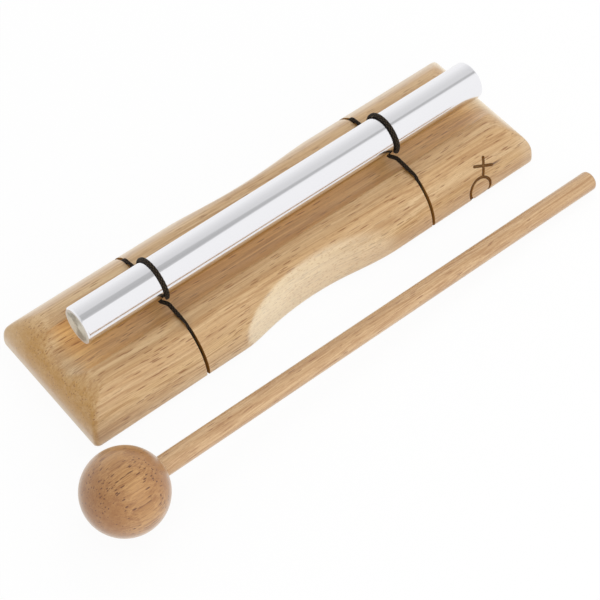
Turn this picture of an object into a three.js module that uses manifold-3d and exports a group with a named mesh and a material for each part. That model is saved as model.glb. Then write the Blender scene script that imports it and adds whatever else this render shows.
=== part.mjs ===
// Chime bar: a round aluminium bar hung over a wooden block on two elastic cords, with a ball mallet.
// Millimetres, +Z up. The origin is the middle of the block's flat underside, and X runs along the bar.
import * as THREE from 'three';
import { mergeVertices } from 'three/addons/utils/BufferGeometryUtils.js';
import Module from 'manifold-3d';

const wasm = await Module();
wasm.setup();

// Clearance between pieces that touch, and how far a cutter runs past what it cuts
const GAP = 0.3;
const OVERRUN = 4;

// Wooden block
const BLOCK_LENGTH = 218.8;
const BLOCK_WIDTH = 62.8;
const BLOCK_HEIGHT = 20.1;
const SIDE_RADIUS = 20.8;
const END_RADIUS = 15.5;
const FOOT_RADIUS = 1.4;
const COVE_WIDTH = 24.5;
const COVE_DEPTH = 4.3;

// Finger scallops in the long sides, each cut by a leaning drum
const SCALLOP_DRUM_RADIUS = 128;
const SCALLOP_FOOT_DEPTH = 3.5;
const SCALLOP_LEAN = THREE.MathUtils.degToRad(13.5);
const NEAR_SCALLOP_SHIFT = -4.5;
const FAR_SCALLOP_SHIFT = -0.5;

// Chime rod, which lies a little off the middle in its loops
const ROD_DIAMETER = 16;
const ROD_LENGTH = 193;
const ROD_CHAMFER = 0.6;
const ROD_SHIFT = 3.4;

// Saw kerfs that lead the cords round the block, and the pockets for their knots
const KERF_WIDTH = 1.4;
const KERF_TOP_DEPTH = 1;
const KERF_SIDE_DEPTH = 6;
const KERF_FOOT_DEPTH = 3.8;
const KERF_SIDE_HEIGHT = 9;
const KERF_SHOULDER_INSET = 1;
const POCKET_DIAMETER = 11;
const POCKET_DEPTH = 6.6;

// Elastic cords, round where they are free and pressed narrow in the kerfs
const CORD_DIAMETER = 1.9;
const CORD_SPACING = 112.8;
const CORD_SHIFT = -1.4;
const PRESSED_WIDTH = 0.9;
const PRESSED_HEIGHT = 2.4;
const PRESS_LENGTH = 3.2;
const SHOULDER_BEND_RADIUS = 3;
const STRAND_SAG = 0.6;
const TURN_GAP = 0.7;
const KNOT_DIAMETER = 4.6;
const KNOT_RISE = 1.1;
const TAIL_LENGTH = 4.3;

// Mallet, lying beside the block with its ball and its tip on the ground
const BALL_DIAMETER = 33;
const BORE_DEPTH = 22;
const STICK_DIAMETER = 8.2;
const TIP_ROUND = 1.3;
const MALLET_REACH = 235.2;
const MALLET_X = -116.6;
const MALLET_Y = -60.3;
const MALLET_YAW = THREE.MathUtils.degToRad(1.35);

// Faces on the curves
const ARC_STEPS = 14;
const FOOT_STEPS = 4;
const BEND_STEPS = 4;
const DRUM_SIDES = 240;
const ROD_SIDES = 64;
const STICK_SIDES = 40;
const BALL_SIDES = 56;
const BALL_RINGS = 28;
const POCKET_SIDES = 32;
const KNOT_SIDES = 16;
const KNOT_RINGS = 10;
const CORD_SIDES = 6;
const LOOP_STEPS = 24;

// Sideways drift of the round turn, as shares of its pitch, against the angle round the rod from below
const TURN_DRIFT_SHARES = [
  [0, -0.5],
  [90, -0.46],
  [180, -0.46],
  [225, -0.44],
  [250, -0.38],
  [270, -0.28],
  [285, -0.22],
  [297, -0.12],
  [308, 0.12],
  [318, 0.36],
  [328, 0.5],
  [338, 0.54],
  [360, 0.54],
];

// Near strand where it passes under the turn: shares of the turn's radius before the rod, and of the pitch
const STRAND_DRIFT_SHARES = [
  [1.2, 0.03],
  [1, 0.06],
  [0.86, 0.04],
  [0.75, -0.1],
  [0.65, -0.3],
  [0.56, -0.46],
  [0.32, -0.52],
];

// Places along the far strand, as shares of its length
const FAR_STRAND_SHARES = [0.25, 0.48, 0.66, 0.83];

// Places that follow from the sizes
const rodRadius = ROD_DIAMETER / 2;
const cordRadius = CORD_DIAMETER / 2;
const ballRadius = BALL_DIAMETER / 2;
const stickRadius = STICK_DIAMETER / 2;
const turnPitch = CORD_DIAMETER + TURN_GAP;
const sideCentreY = BLOCK_WIDTH / 2 - SIDE_RADIUS;
const shoulderY = sideCentreY + Math.sqrt(SIDE_RADIUS ** 2 - (BLOCK_HEIGHT - FOOT_RADIUS) ** 2);
const strandHeight = BLOCK_HEIGHT + GAP + cordRadius;
const turnRadius = (rodRadius + GAP) / Math.cos(Math.PI / LOOP_STEPS) + cordRadius;
const rodHeight = strandHeight - STRAND_SAG + turnRadius;

// Points of a circular arc, from one angle to another, in degrees
function arc(centreX, centreY, radius, fromDegrees, toDegrees, steps) {
  const points = [];
  for (let i = 0; i <= steps; i += 1) {
    const angle = THREE.MathUtils.degToRad(THREE.MathUtils.lerp(fromDegrees, toDegrees, i / steps));
    points.push(new THREE.Vector2(centreX + radius * Math.cos(angle), centreY + radius * Math.sin(angle)));
  }
  return points;
}

// Solid from a closed three.js geometry
function solid(geometry) {
  const bare = geometry.clone();
  bare.deleteAttribute('normal');
  bare.deleteAttribute('uv');
  const merged = mergeVertices(bare);
  return new wasm.Manifold(new wasm.Mesh({
    numProp: 3,
    vertProperties: new Float32Array(merged.attributes.position.array),
    triVerts: new Uint32Array(merged.index.array),
  }));
}

// Bar of constant section along X, from an outline in Y and Z
function barAlongX(outline, length) {
  const shape = new THREE.Shape(outline);
  const geometry = new THREE.ExtrudeGeometry(shape, { depth: length, bevelEnabled: false });
  geometry.translate(0, 0, -length / 2);
  geometry.applyMatrix4(new THREE.Matrix4().makeBasis(
    new THREE.Vector3(0, 1, 0),
    new THREE.Vector3(0, 0, 1),
    new THREE.Vector3(1, 0, 0),
  ));
  return solid(geometry);
}

// Bar of constant section along Y, from an outline in X and Z
function barAlongY(outline, length) {
  const shape = new THREE.Shape(outline);
  const geometry = new THREE.ExtrudeGeometry(shape, { depth: length, bevelEnabled: false });
  geometry.translate(0, 0, -length / 2);
  geometry.rotateX(Math.PI / 2);
  return solid(geometry);
}

// Solid of revolution about X, from distances along X and radii
function turned(profile, sides) {
  const lathe = new THREE.LatheGeometry(profile.map((p) => new THREE.Vector2(p.y, p.x)), sides);
  lathe.rotateZ(-Math.PI / 2);
  return solid(lathe);
}

// Section across the block: foot, rounded sides, shoulders and the cove between them
function blockSection() {
  const shoulderAngle = THREE.MathUtils.radToDeg(
    Math.atan2(BLOCK_HEIGHT - FOOT_RADIUS, shoulderY - sideCentreY),
  );
  const coveRadius = ((COVE_WIDTH / 2) ** 2 + COVE_DEPTH ** 2) / (2 * COVE_DEPTH);
  const coveAngle = THREE.MathUtils.radToDeg(Math.asin(COVE_WIDTH / 2 / coveRadius));
  const coveCentreZ = BLOCK_HEIGHT - COVE_DEPTH + coveRadius;
  const footY = BLOCK_WIDTH / 2 - FOOT_RADIUS;
  return [
    ...arc(footY, FOOT_RADIUS, FOOT_RADIUS, -90, 0, FOOT_STEPS),
    ...arc(sideCentreY, FOOT_RADIUS, SIDE_RADIUS, 0, shoulderAngle, ARC_STEPS).slice(1),
    ...arc(0, coveCentreZ, coveRadius, coveAngle - 90, -90 - coveAngle, ARC_STEPS),
    ...arc(-sideCentreY, FOOT_RADIUS, SIDE_RADIUS, 180 - shoulderAngle, 180, ARC_STEPS),
    ...arc(-footY, FOOT_RADIUS, FOOT_RADIUS, 180, 270, FOOT_STEPS).slice(1),
  ];
}

// Section along the block: foot and rounded ends
function endSection() {
  const endX = BLOCK_LENGTH / 2 - END_RADIUS;
  const endZ = BLOCK_HEIGHT - END_RADIUS;
  const footX = BLOCK_LENGTH / 2 - FOOT_RADIUS;
  return [
    ...arc(footX, FOOT_RADIUS, FOOT_RADIUS, -90, 0, FOOT_STEPS),
    ...arc(endX, endZ, END_RADIUS, 0, 90, ARC_STEPS),
    ...arc(-endX, endZ, END_RADIUS, 90, 180, ARC_STEPS),
    ...arc(-footX, FOOT_RADIUS, FOOT_RADIUS, 180, 270, FOOT_STEPS),
  ];
}

// Leaning drum that scoops a finger scallop out of one long side
function scallopDrum(side, shift) {
  const height = 2 * (BLOCK_HEIGHT + OVERRUN);
  const drum = new THREE.CylinderGeometry(SCALLOP_DRUM_RADIUS, SCALLOP_DRUM_RADIUS, height, DRUM_SIDES);
  drum.rotateX(Math.PI / 2);
  drum.translate(0, side * SCALLOP_DRUM_RADIUS, 0);
  drum.rotateX(side * SCALLOP_LEAN);
  drum.translate(shift, side * (BLOCK_WIDTH / 2 - SCALLOP_FOOT_DEPTH), 0);
  return solid(drum);
}

// Corners of a saw kerf's floor on one side of the block: shoulder, side and foot
function kerfFloor() {
  const sideY = BLOCK_WIDTH / 2 - KERF_SIDE_DEPTH;
  return [
    new THREE.Vector2(shoulderY - KERF_SHOULDER_INSET, BLOCK_HEIGHT - KERF_TOP_DEPTH),
    new THREE.Vector2(sideY, KERF_SIDE_HEIGHT),
    new THREE.Vector2(sideY, KERF_FOOT_DEPTH),
  ];
}

// Saw kerf all round the block: a thin slab, less the wood that stays inside the kerf's floor
function kerfCutter(x) {
  const floor = kerfFloor();
  const core = [...floor].reverse().concat(floor.map((p) => new THREE.Vector2(-p.x, p.y)));
  const slab = new THREE.BoxGeometry(KERF_WIDTH, BLOCK_WIDTH + OVERRUN, BLOCK_HEIGHT + OVERRUN);
  slab.translate(0, 0, BLOCK_HEIGHT / 2);
  return solid(slab).subtract(barAlongX(core, KERF_WIDTH + OVERRUN)).translate([x, 0, 0]);
}

// Round pocket under the block for the knot of a cord
function knotPocket(x) {
  const radius = POCKET_DIAMETER / 2;
  const drill = new THREE.CylinderGeometry(radius, radius, POCKET_DEPTH * 2, POCKET_SIDES);
  drill.rotateX(Math.PI / 2);
  drill.translate(x, 0, 0);
  return solid(drill);
}

// Wooden block with its cove, scallops, kerfs and pockets
function woodenBlock() {
  let block = barAlongX(blockSection(), BLOCK_LENGTH + OVERRUN);
  block = block.intersect(barAlongY(endSection(), BLOCK_WIDTH + OVERRUN));
  block = block.subtract(scallopDrum(-1, NEAR_SCALLOP_SHIFT));
  block = block.subtract(scallopDrum(1, FAR_SCALLOP_SHIFT));
  for (const side of [-1, 1]) {
    const x = cordX(side);
    block = block.subtract(kerfCutter(x)).subtract(knotPocket(x));
  }
  return block;
}

// Place of a cord along the block, for side -1 or 1
function cordX(side) {
  return CORD_SHIFT + (side * CORD_SPACING) / 2;
}

// Aluminium rod with faced and lightly chamfered ends
function chimeRod() {
  const half = ROD_LENGTH / 2;
  return turned([
    new THREE.Vector2(-half, 0),
    new THREE.Vector2(-half, rodRadius - ROD_CHAMFER),
    new THREE.Vector2(ROD_CHAMFER - half, rodRadius),
    new THREE.Vector2(half - ROD_CHAMFER, rodRadius),
    new THREE.Vector2(half, rodRadius - ROD_CHAMFER),
    new THREE.Vector2(half, 0),
  ], ROD_SIDES).translate([ROD_SHIFT, 0, rodHeight]);
}

// Height of a strand where it crosses the cove, bent down a little by the rod's weight
function strandZ(y) {
  const taut = Math.min(Math.abs(y) / (COVE_WIDTH / 2), 1);
  return strandHeight - STRAND_SAG * (1 - taut);
}

// Sideways drift of the round turn at an angle round the rod
function turnDrift(degrees) {
  let i = 1;
  while (i < TURN_DRIFT_SHARES.length - 1 && degrees > TURN_DRIFT_SHARES[i][0]) {
    i += 1;
  }
  const [fromAngle, fromShare] = TURN_DRIFT_SHARES[i - 1];
  const [toAngle, toShare] = TURN_DRIFT_SHARES[i];
  return turnPitch * THREE.MathUtils.mapLinear(degrees, fromAngle, toAngle, fromShare, toShare);
}

// Bend of a cord over the shoulder, from the slope of the kerf's floor up to the level strand
function shoulderBend(lift) {
  const [top, side] = kerfFloor();
  const slope = new THREE.Vector2().subVectors(side, top).normalize();
  const outward = new THREE.Vector2(-slope.y, slope.x);
  const onSlope = top.clone().addScaledVector(outward, lift);
  const corner = onSlope.clone().addScaledVector(slope, (strandHeight - onSlope.y) / slope.y);
  const setback = SHOULDER_BEND_RADIUS * Math.tan(Math.acos(slope.x) / 2);
  return new THREE.QuadraticBezierCurve(
    corner.clone().addScaledVector(slope, setback),
    corner,
    new THREE.Vector2(corner.x - setback, strandHeight),
  ).getPoints(BEND_STEPS);
}

// Cord on one side of the block, from the middle of the underside up to the end of the shoulder bend
function cordRise() {
  const lift = GAP + PRESSED_HEIGHT / 2;
  const [top, side, foot] = kerfFloor();
  const slopeDegrees = THREE.MathUtils.radToDeg(Math.atan2(side.x - top.x, top.y - side.y));
  return [
    new THREE.Vector2(0, foot.y - lift),
    new THREE.Vector2(foot.x / 2, foot.y - lift),
    ...arc(foot.x, foot.y, lift, -90, 0, BEND_STEPS),
    ...arc(side.x, side.y, lift, 0, slopeDegrees, BEND_STEPS),
    ...shoulderBend(lift),
  ];
}

// Route of one cord round the block and round the rod, as points about the cord's own plane
function cordRoute() {
  const rise = cordRise();
  const strandY = rise[rise.length - 1].x;
  const route = rise.map((p) => new THREE.Vector3(0, -p.x, p.y));
  for (const share of [0.5, 1]) {
    route.push(new THREE.Vector3(0, PRESS_LENGTH * share - strandY, strandHeight));
  }
  for (const [shareY, shareX] of STRAND_DRIFT_SHARES) {
    const y = -turnRadius * shareY;
    if (y > PRESS_LENGTH - strandY) {
      route.push(new THREE.Vector3(turnPitch * shareX, y, strandZ(y)));
    }
  }
  for (let i = 0; i <= LOOP_STEPS; i += 1) {
    const degrees = (i * 360) / LOOP_STEPS;
    const angle = THREE.MathUtils.degToRad(degrees);
    route.push(new THREE.Vector3(
      turnDrift(degrees),
      turnRadius * Math.sin(angle),
      rodHeight - turnRadius * Math.cos(angle),
    ));
  }
  for (const share of FAR_STRAND_SHARES) {
    const y = strandY * share;
    route.push(new THREE.Vector3(turnDrift(360) * (1 - share), y, strandZ(y)));
  }
  const fall = rise.slice(1).reverse();
  return route.concat(fall.map((p) => new THREE.Vector3(0, p.x, p.y)));
}

// How far a cord is pressed narrow at a point of its route, from 0 to 1
function pressShare(point, strandY) {
  if (point.z < BLOCK_HEIGHT) {
    return 1;
  }
  return THREE.MathUtils.clamp(1 - (strandY - Math.abs(point.y)) / PRESS_LENGTH, 0, 1);
}

// Tube along a closed route, round or pressed as the route asks
function cordTube(route) {
  const rise = cordRise();
  const strandY = rise[rise.length - 1].x;
  const vertices = [];
  const faces = [];
  route.forEach((point, i) => {
    const before = route[(i + route.length - 1) % route.length];
    const after = route[(i + 1) % route.length];
    const inbound = new THREE.Vector3().subVectors(point, before).normalize();
    const outbound = new THREE.Vector3().subVectors(after, point).normalize();
    const tangent = new THREE.Vector3().addVectors(inbound, outbound).normalize();
    const across = new THREE.Vector3(1, 0, 0).projectOnPlane(tangent).normalize();
    const outward = new THREE.Vector3().crossVectors(across, tangent);
    const share = pressShare(point, strandY);
    const halfWidth = THREE.MathUtils.lerp(cordRadius, PRESSED_WIDTH / 2, share);
    const halfHeight = THREE.MathUtils.lerp(cordRadius, PRESSED_HEIGHT / 2, share);
    for (let k = 0; k < CORD_SIDES; k += 1) {
      const angle = (k * 2 * Math.PI) / CORD_SIDES;
      const vertex = point.clone();
      vertex.addScaledVector(across, halfWidth * Math.sin(angle));
      vertex.addScaledVector(outward, halfHeight * Math.cos(angle));
      vertices.push(vertex.x, vertex.y, vertex.z);
      const a = i * CORD_SIDES + k;
      const b = i * CORD_SIDES + ((k + 1) % CORD_SIDES);
      const c = ((i + 1) % route.length) * CORD_SIDES + k;
      const d = ((i + 1) % route.length) * CORD_SIDES + ((k + 1) % CORD_SIDES);
      faces.push(a, b, d, a, d, c);
    }
  });
  const geometry = new THREE.BufferGeometry();
  geometry.setAttribute('position', new THREE.Float32BufferAttribute(vertices, 3));
  geometry.setIndex(faces);
  return solid(geometry);
}

// Knot with its two cut ends, lying in the pocket under the block
function knot(height) {
  const lump = new THREE.SphereGeometry(KNOT_DIAMETER / 2, KNOT_SIDES, KNOT_RINGS);
  const tails = new THREE.CylinderGeometry(cordRadius, cordRadius, TAIL_LENGTH * 2, KNOT_SIDES);
  tails.rotateZ(Math.PI / 2);
  return solid(lump).add(solid(tails)).translate([0, 0, height + KNOT_RISE]);
}

// Cord tied in one unbroken ring round the block and the rod
function elasticCord(x) {
  const route = cordRoute();
  return cordTube(route).add(knot(route[0].z)).translate([x, 0, 0]);
}

// Least gap that a cord keeps to itself, measured between points along its route
function leastSelfGap() {
  const curve = new THREE.CurvePath();
  const route = cordRoute();
  route.forEach((point, i) => {
    curve.add(new THREE.LineCurve3(point, route[(i + 1) % route.length]));
  });
  const length = curve.getLength();
  const count = Math.round((length / CORD_DIAMETER) * LOOP_STEPS / CORD_SIDES);
  const points = curve.getSpacedPoints(count).slice(0, count);
  const apart = Math.ceil((3 * CORD_DIAMETER * count) / length);
  let least = Infinity;
  for (let i = 0; i < count; i += 1) {
    for (let j = i + apart; j < count && j - i <= count - apart; j += 1) {
      least = Math.min(least, points[i].distanceTo(points[j]) - CORD_DIAMETER);
    }
  }
  return least;
}

// Puts a mallet piece, made along X from the ball's middle, in its place on the ground
function layMallet(piece) {
  const drop = Math.asin((ballRadius - stickRadius) / MALLET_REACH);
  return piece
    .rotate([0, THREE.MathUtils.radToDeg(drop), THREE.MathUtils.radToDeg(MALLET_YAW)])
    .translate([MALLET_X, MALLET_Y, ballRadius]);
}

// Wooden ball with a blind bore for the stick
function malletBall() {
  const boreRadius = stickRadius + GAP;
  const mouth = Math.sqrt(ballRadius ** 2 - boreRadius ** 2);
  const mouthDegrees = THREE.MathUtils.radToDeg(Math.atan2(boreRadius, mouth));
  const floor = ballRadius - BORE_DEPTH;
  return layMallet(turned([
    new THREE.Vector2(-ballRadius, 0),
    ...arc(0, 0, ballRadius, 180, mouthDegrees, BALL_RINGS).slice(1),
    new THREE.Vector2(floor, boreRadius),
    new THREE.Vector2(floor, 0),
  ], BALL_SIDES));
}

// Wooden stick, glued in the ball's bore, with its far end's edge rounded
function malletStick() {
  const start = ballRadius - BORE_DEPTH + GAP;
  return layMallet(turned([
    new THREE.Vector2(start, 0),
    new THREE.Vector2(start, stickRadius),
    ...arc(MALLET_REACH - TIP_ROUND, stickRadius - TIP_ROUND, TIP_ROUND, 90, 0, FOOT_STEPS),
    new THREE.Vector2(MALLET_REACH, 0),
  ], STICK_SIDES));
}

// Named mesh with its own material, from a solid
function piece(name, body, color, roughness, metalness) {
  const { vertProperties, triVerts } = body.getMesh();
  const geometry = new THREE.BufferGeometry();
  geometry.setAttribute('position', new THREE.Float32BufferAttribute(vertProperties, 3));
  geometry.setIndex(new THREE.Uint32BufferAttribute(triVerts, 1));
  geometry.computeVertexNormals();
  const mesh = new THREE.Mesh(geometry, new THREE.MeshStandardMaterial({ color, roughness, metalness }));
  mesh.name = name;
  return mesh;
}

console.log(`cord self gap ${leastSelfGap().toFixed(2)}`);

const group = new THREE.Group();
group.add(piece('wooden_block', woodenBlock(), '#c9a06c', 0.6, 0));
group.add(piece('chime_rod', chimeRod(), '#d4d6da', 0.25, 1));
group.add(piece('left_cord', elasticCord(cordX(-1)), '#1b1a1c', 0.8, 0));
group.add(piece('right_cord', elasticCord(cordX(1)), '#1b1a1c', 0.8, 0));
group.add(piece('mallet_ball', malletBall(), '#d9b183', 0.5, 0));
group.add(piece('mallet_stick', malletStick(), '#dcb98c', 0.55, 0));

export default group;
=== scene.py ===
"""Looks of the chime bar: a lacquered wooden block, a polished bar hung in braided cords, and a ball mallet.

Sizes are in millimetres, as in the part's source, and turn into metres where a mesh is made.
X runs along the bar, +Y away from the mallet and +Z up. The origin is the middle of the block's foot.
"""

import math

import bmesh
import bpy
import numpy as np
from mathutils import Matrix, Vector


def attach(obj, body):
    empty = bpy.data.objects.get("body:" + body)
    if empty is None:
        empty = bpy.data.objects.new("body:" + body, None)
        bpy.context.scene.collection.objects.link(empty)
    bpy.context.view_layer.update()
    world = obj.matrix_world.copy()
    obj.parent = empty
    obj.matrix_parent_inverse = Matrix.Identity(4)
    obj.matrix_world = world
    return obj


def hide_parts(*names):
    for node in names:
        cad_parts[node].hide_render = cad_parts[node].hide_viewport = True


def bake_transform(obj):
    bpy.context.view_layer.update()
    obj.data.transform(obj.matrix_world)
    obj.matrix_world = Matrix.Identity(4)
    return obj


MM = 0.001

# Wooden block
BLOCK_LENGTH = 218.8
BLOCK_WIDTH = 62.8
BLOCK_HEIGHT = 20.1
SIDE_RADIUS = 20.8
END_RADIUS = 15.5
FOOT_RADIUS = 2.6
SIDE_BASE = 1.4
END_FOOT_RADIUS = 1.2
COVE_WIDTH = 24.5
COVE_DEPTH = 4.3
SHOULDER_SOFTNESS = 1.6
COVE_SOFTNESS = 0.5
MITRE_SOFTNESS = 3.2
MITRE_FADE = 3
CORNER_RADIUS = 2.2

# Finger scallops, with rims that are crisper towards the left
SCALLOP_DRUM_RADIUS = 128
SCALLOP_DRUM_SHARE = 0.9
SCALLOP_FOOT_DEPTH = 3.5
SCALLOP_LEAN = math.radians(13.5)
NEAR_SCALLOP_SHIFT = -4.5
FAR_SCALLOP_SHIFT = -0.5
SCALLOP_REACH = 46
CRISP_RIM = 0.9
SOFT_RIM = 3.2

# Saw kerfs and knot pockets
KERF_WIDTH = 1.4
KERF_TOP_DEPTH = 1
KERF_SIDE_DEPTH = 6
KERF_FOOT_DEPTH = 3.8
KERF_SIDE_HEIGHT = 9
KERF_SHOULDER_INSET = 1
KERF_LIP = 0.02
KERF_MARK_MARGIN = 0.02
POCKET_DIAMETER = 11
POCKET_DEPTH = 6.6

# Engraved sign of Venus on the near side: places are along X, and down the side from the shoulder
SIGN_RING_CENTRE = (80.2, 19.6)
SIGN_RING_RADIUS = 5.3
SIGN_TILT = math.radians(23)
SIGN_STEM_LENGTH = 8.1
SIGN_BAR_SHARE = 0.58
SIGN_BAR_HALF = 4.4
SIGN_LINE_HALF = 0.62
SIGN_LINE_BLUR = 0.1
SIGN_DEPTH = 0.35

# Steps of the block's section: a count for each arc, and a spacing for each line
FOOT_LINE_STEP = 1.2
TOP_LINE_STEP = 1
FOOT_ARC_STEPS = 9
SIDE_ARC_STEPS = 72
SHOULDER_STEPS = 6
COVE_EDGE_STEPS = 4
COVE_ARC_STEPS = 16

# Stations along the block, closer together at its ends, scallops, kerfs and sign
END_STEPS = 25
END_FOOT_STEPS = 6
PLAIN_REACH = 90
PLAIN_STEP = 3.0
SCALLOP_MARGIN = 4
SCALLOP_STEP = 1.0
SIGN_MARGIN = 8.5
SIGN_STEP = 0.26
KERF_CLEARANCE = 0.3
KERF_RIM = 0.25
KERF_EDGE = 0.012
STATION_DIGITS = 4

# Zones of painted light in the block's colour, and the burnt sign's middle: their shares, and what they fade
# over. The painted highlights lie in the scallops, along the foot, on the right end and on the far side, and
# painted warm bounce light lies in the cove
SCOOP_FADES = (0.3, 4.0)
SCOOP_SHARES = (1, 0.25)
SCOOP_CORE = 0.2
COVE_FADE_DEPTHS = (0.03, 0.35)
FOOT_SHARE = 0.8
FOOT_FADE_HEIGHTS = (0.4, 2.8)
UNDERSIDE_SHARE = 0.3
UNDERSIDE_TOP = 0.02
RIGHT_FADE_INSETS = (9, 3)
RIGHT_FACE_INSET = 1
RIGHT_FACE_LOSS = 0.3
RIGHT_NEAR_SHARE = 0.3
RIGHT_FAR_GAIN = 1.1
RIGHT_GAIN_Y = (-27, -11)
FAR_SIDE_SHARE = 0.4
BURN_MIDDLE_SHARE = 0.8

# Chime rod
ROD_DIAMETER = 16
ROD_LENGTH = 193
ROD_CHAMFER = 0.6
ROD_EDGE_SOFTNESS = 0.12
ROD_SHIFT = 3.4
ROD_HEIGHT = 30.07

# Elastic cords
CORD_DIAMETER = 1.9
CORD_SPACING = 112.8
CORD_SHIFT = -1.4
CORD_LIFT = 0.3
PRESSED_WIDTH = 0.9
PRESSED_HEIGHT = 2.4
PRESSED_RELIEF_LOSS = 0.5
PRESS_LENGTH = 3.2
SHOULDER_BEND_RADIUS = 3
TURN_GAP = 0.7
TURN_CLEARANCE = 0.06
TURN_THICKNESS = 1.4
TURN_WIDTH = 1.85
TURN_FADE = (0.3, 1.4)
STRAND_DIAMETER = 1.75
STRAND_SAG = 0.25
CORD_STEP = 0.2
CORD_SIDES = 28
BRAID_STRANDS = 5
BRAID_PITCH = 4.2
BRAID_RELIEF = 0.16
BRAID_UNDER = 0.45
KNOT_SCALE = 0.95
KNOT_DOUBLE_TURN = 1.7
KNOT_THICKNESS = 0.75
KNOT_OPENING = 0.1
KNOT_STEPS = 150
KNOT_CORD_RADIUS = 0.72
KNOT_CORD_SIDES = 14
TUBE_SIDE_HINT = (0.3, 0.5, 0.8)
KNOT_RISE = 1.6
KNOT_BRAID = 0.8
TAIL_LENGTH = 1.44
TAIL_STEP = 0.3

# Sideways drift of the round turn, as shares of its pitch, against the angle round the rod from below
TURN_DRIFT_SHARES = (
    (0, -0.5),
    (90, -0.46),
    (180, -0.46),
    (225, -0.44),
    (250, -0.38),
    (270, -0.28),
    (285, -0.22),
    (297, -0.12),
    (308, 0.12),
    (318, 0.36),
    (328, 0.5),
    (338, 0.54),
    (360, 0.54),
)

# Near strand where it passes under the turn: shares of the turn's radius before the rod, and of the pitch
STRAND_DRIFT_SHARES = (
    (1.2, 0.03),
    (1, 0.06),
    (0.86, 0.04),
    (0.75, -0.1),
    (0.65, -0.3),
    (0.56, -0.46),
    (0.32, -0.52),
)
FAR_STRAND_SHARES = (0.25, 0.48, 0.66, 0.83)
LOOP_STEPS = 24
BEND_STEPS = 4
ROUTE_STEPS = 24

# Half-width about the rod, above the block, within which the cord's route is taken as its loop rather than
# its near and far strands
STRAND_FREE_Y = 6.2

# Mallet
BALL_DIAMETER = 33
BORE_DEPTH = 22
BORE_GAP = 0.12
STICK_DIAMETER = 8.2
TIP_ROUND = 1.3
MALLET_REACH = 235.2
MALLET_X = -116.6
MALLET_Y = -60.3
MALLET_YAW = math.radians(1.35)

# Sides and steps of the turned pieces
POCKET_SIDES = 48
ROD_SIDES = 160
ROD_EDGE_STEPS = 3
ROD_FACE_STEPS = 9
BALL_SIDES = 144
BALL_STEPS = 96
STICK_SIDES = 72
STICK_STEP = 12
TIP_STEPS = 10
TIP_FACE_STEPS = 4

# Angles in degrees above which an edge is shaded crisply
PLAIN_CREASE = 35
BLOCK_CREASE = 38
ROD_CREASE = 30
MALLET_CREASE = 40
CORD_CREASE = 60

# Camera, fitted to the outlines in the photograph
CAMERA_TARGET = (-7.23, -19.93, 0)
CAMERA_AZIMUTH = math.radians(-38.647)
CAMERA_ELEVATION = math.radians(53.751)
CAMERA_ROLL = math.radians(0.399)
CAMERA_DISTANCE = 754.34
CAMERA_FOCAL_PIXELS = 1933.81
CAMERA_AXIS_PIXEL = (294.3, 289.9)
CAMERA_NEAREST = 50
CAMERA_FARTHEST = 20000
FRAME_PIXELS = 600
SENSOR_WIDTH = 36

# Colours as a picture holds them, from 0 to 255. Tones are light, middle, dark, end grain and pore
BLOCK_TONES = ((218, 186, 139), (204, 166, 116), (170, 124, 70), (178, 126, 16), (134, 82, 22))
BALL_TONES = ((198, 152, 96), (180, 131, 74), (148, 97, 48), (150, 96, 38), (94, 46, 4))
STICK_TONES = ((212, 177, 132), (197, 160, 115), (168, 123, 78), (160, 110, 62), (128, 76, 42))
# Paler colour painted in the scallops as a painted highlight, with darker grain specks kept in it
SCOOP_HIGHLIGHT = (252, 239, 208)
SCOOP_SPECK = (176, 124, 66)
# Paler colour painted along the foot, on the right end and on the far side as a painted highlight
HIGHLIGHT_PALE = (246, 232, 204)
KERF_BARE = (172, 124, 66)
BURNT_LIGHT = (108, 60, 20)
BURNT_DARK = (38, 20, 4)
# Black cord: painted shade in the braid's gaps, lighter on its ridges, and fuzz
BRAID_GAP_SHADE = (4, 3, 2)
BRAID_RIDGE = (72, 60, 46)
BRAID_FUZZ = (94, 80, 64)

# Colours that go to a shader as they are
# Painted warm bounce light, multiplied into the cove's colour
COVE_BOUNCE_TINT = (1.17, 1.02, 0.7, 1)
SHEEN_TINT = (1, 0.88, 0.66, 1)
METAL = (0.872, 0.87, 0.895, 1)
# Faced end of the bar: painted reflection in dark and light, and a painted highlight near the rim
LATHE_REFLECTION_DARK = (0.36, 0.4, 0.38, 1)
LATHE_REFLECTION_LIGHT = (0.8, 0.87, 0.84, 1)
RIM_HIGHLIGHT = (0.9, 0.9, 0.9, 1)
TABLE_WHITE = (0.92, 0.92, 0.92, 1)
WHITE = (1, 1, 1, 1)

# Table under the object, and how much of it a look or a reflection sees as plain white
TABLE_HALF = 2500
TABLE_DROP = 0.05
TABLE_GLOW = 0.93

# Surround as the bar reflects it. A lean is an angle from straight up towards the mallet, in degrees
FALL_LEANS = (-95.0, -8.0)
FALL_LEVEL = 0.75
RISE_LEANS = (0.0, 24.0)
BAND_LEAN = 6.0
BAND_ENDS = (0.2, 0.48)
BAND_HALVES = (17.0, 5.0)
BAND_SOFTNESS = 3.0
BAND_LEVEL = 0.53

# Light that the surround gives as a share of white, and the point that the lamps face
DIFFUSE_LEVEL = 0.8
LAMP_TARGET = (0, 0, 10)

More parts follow.
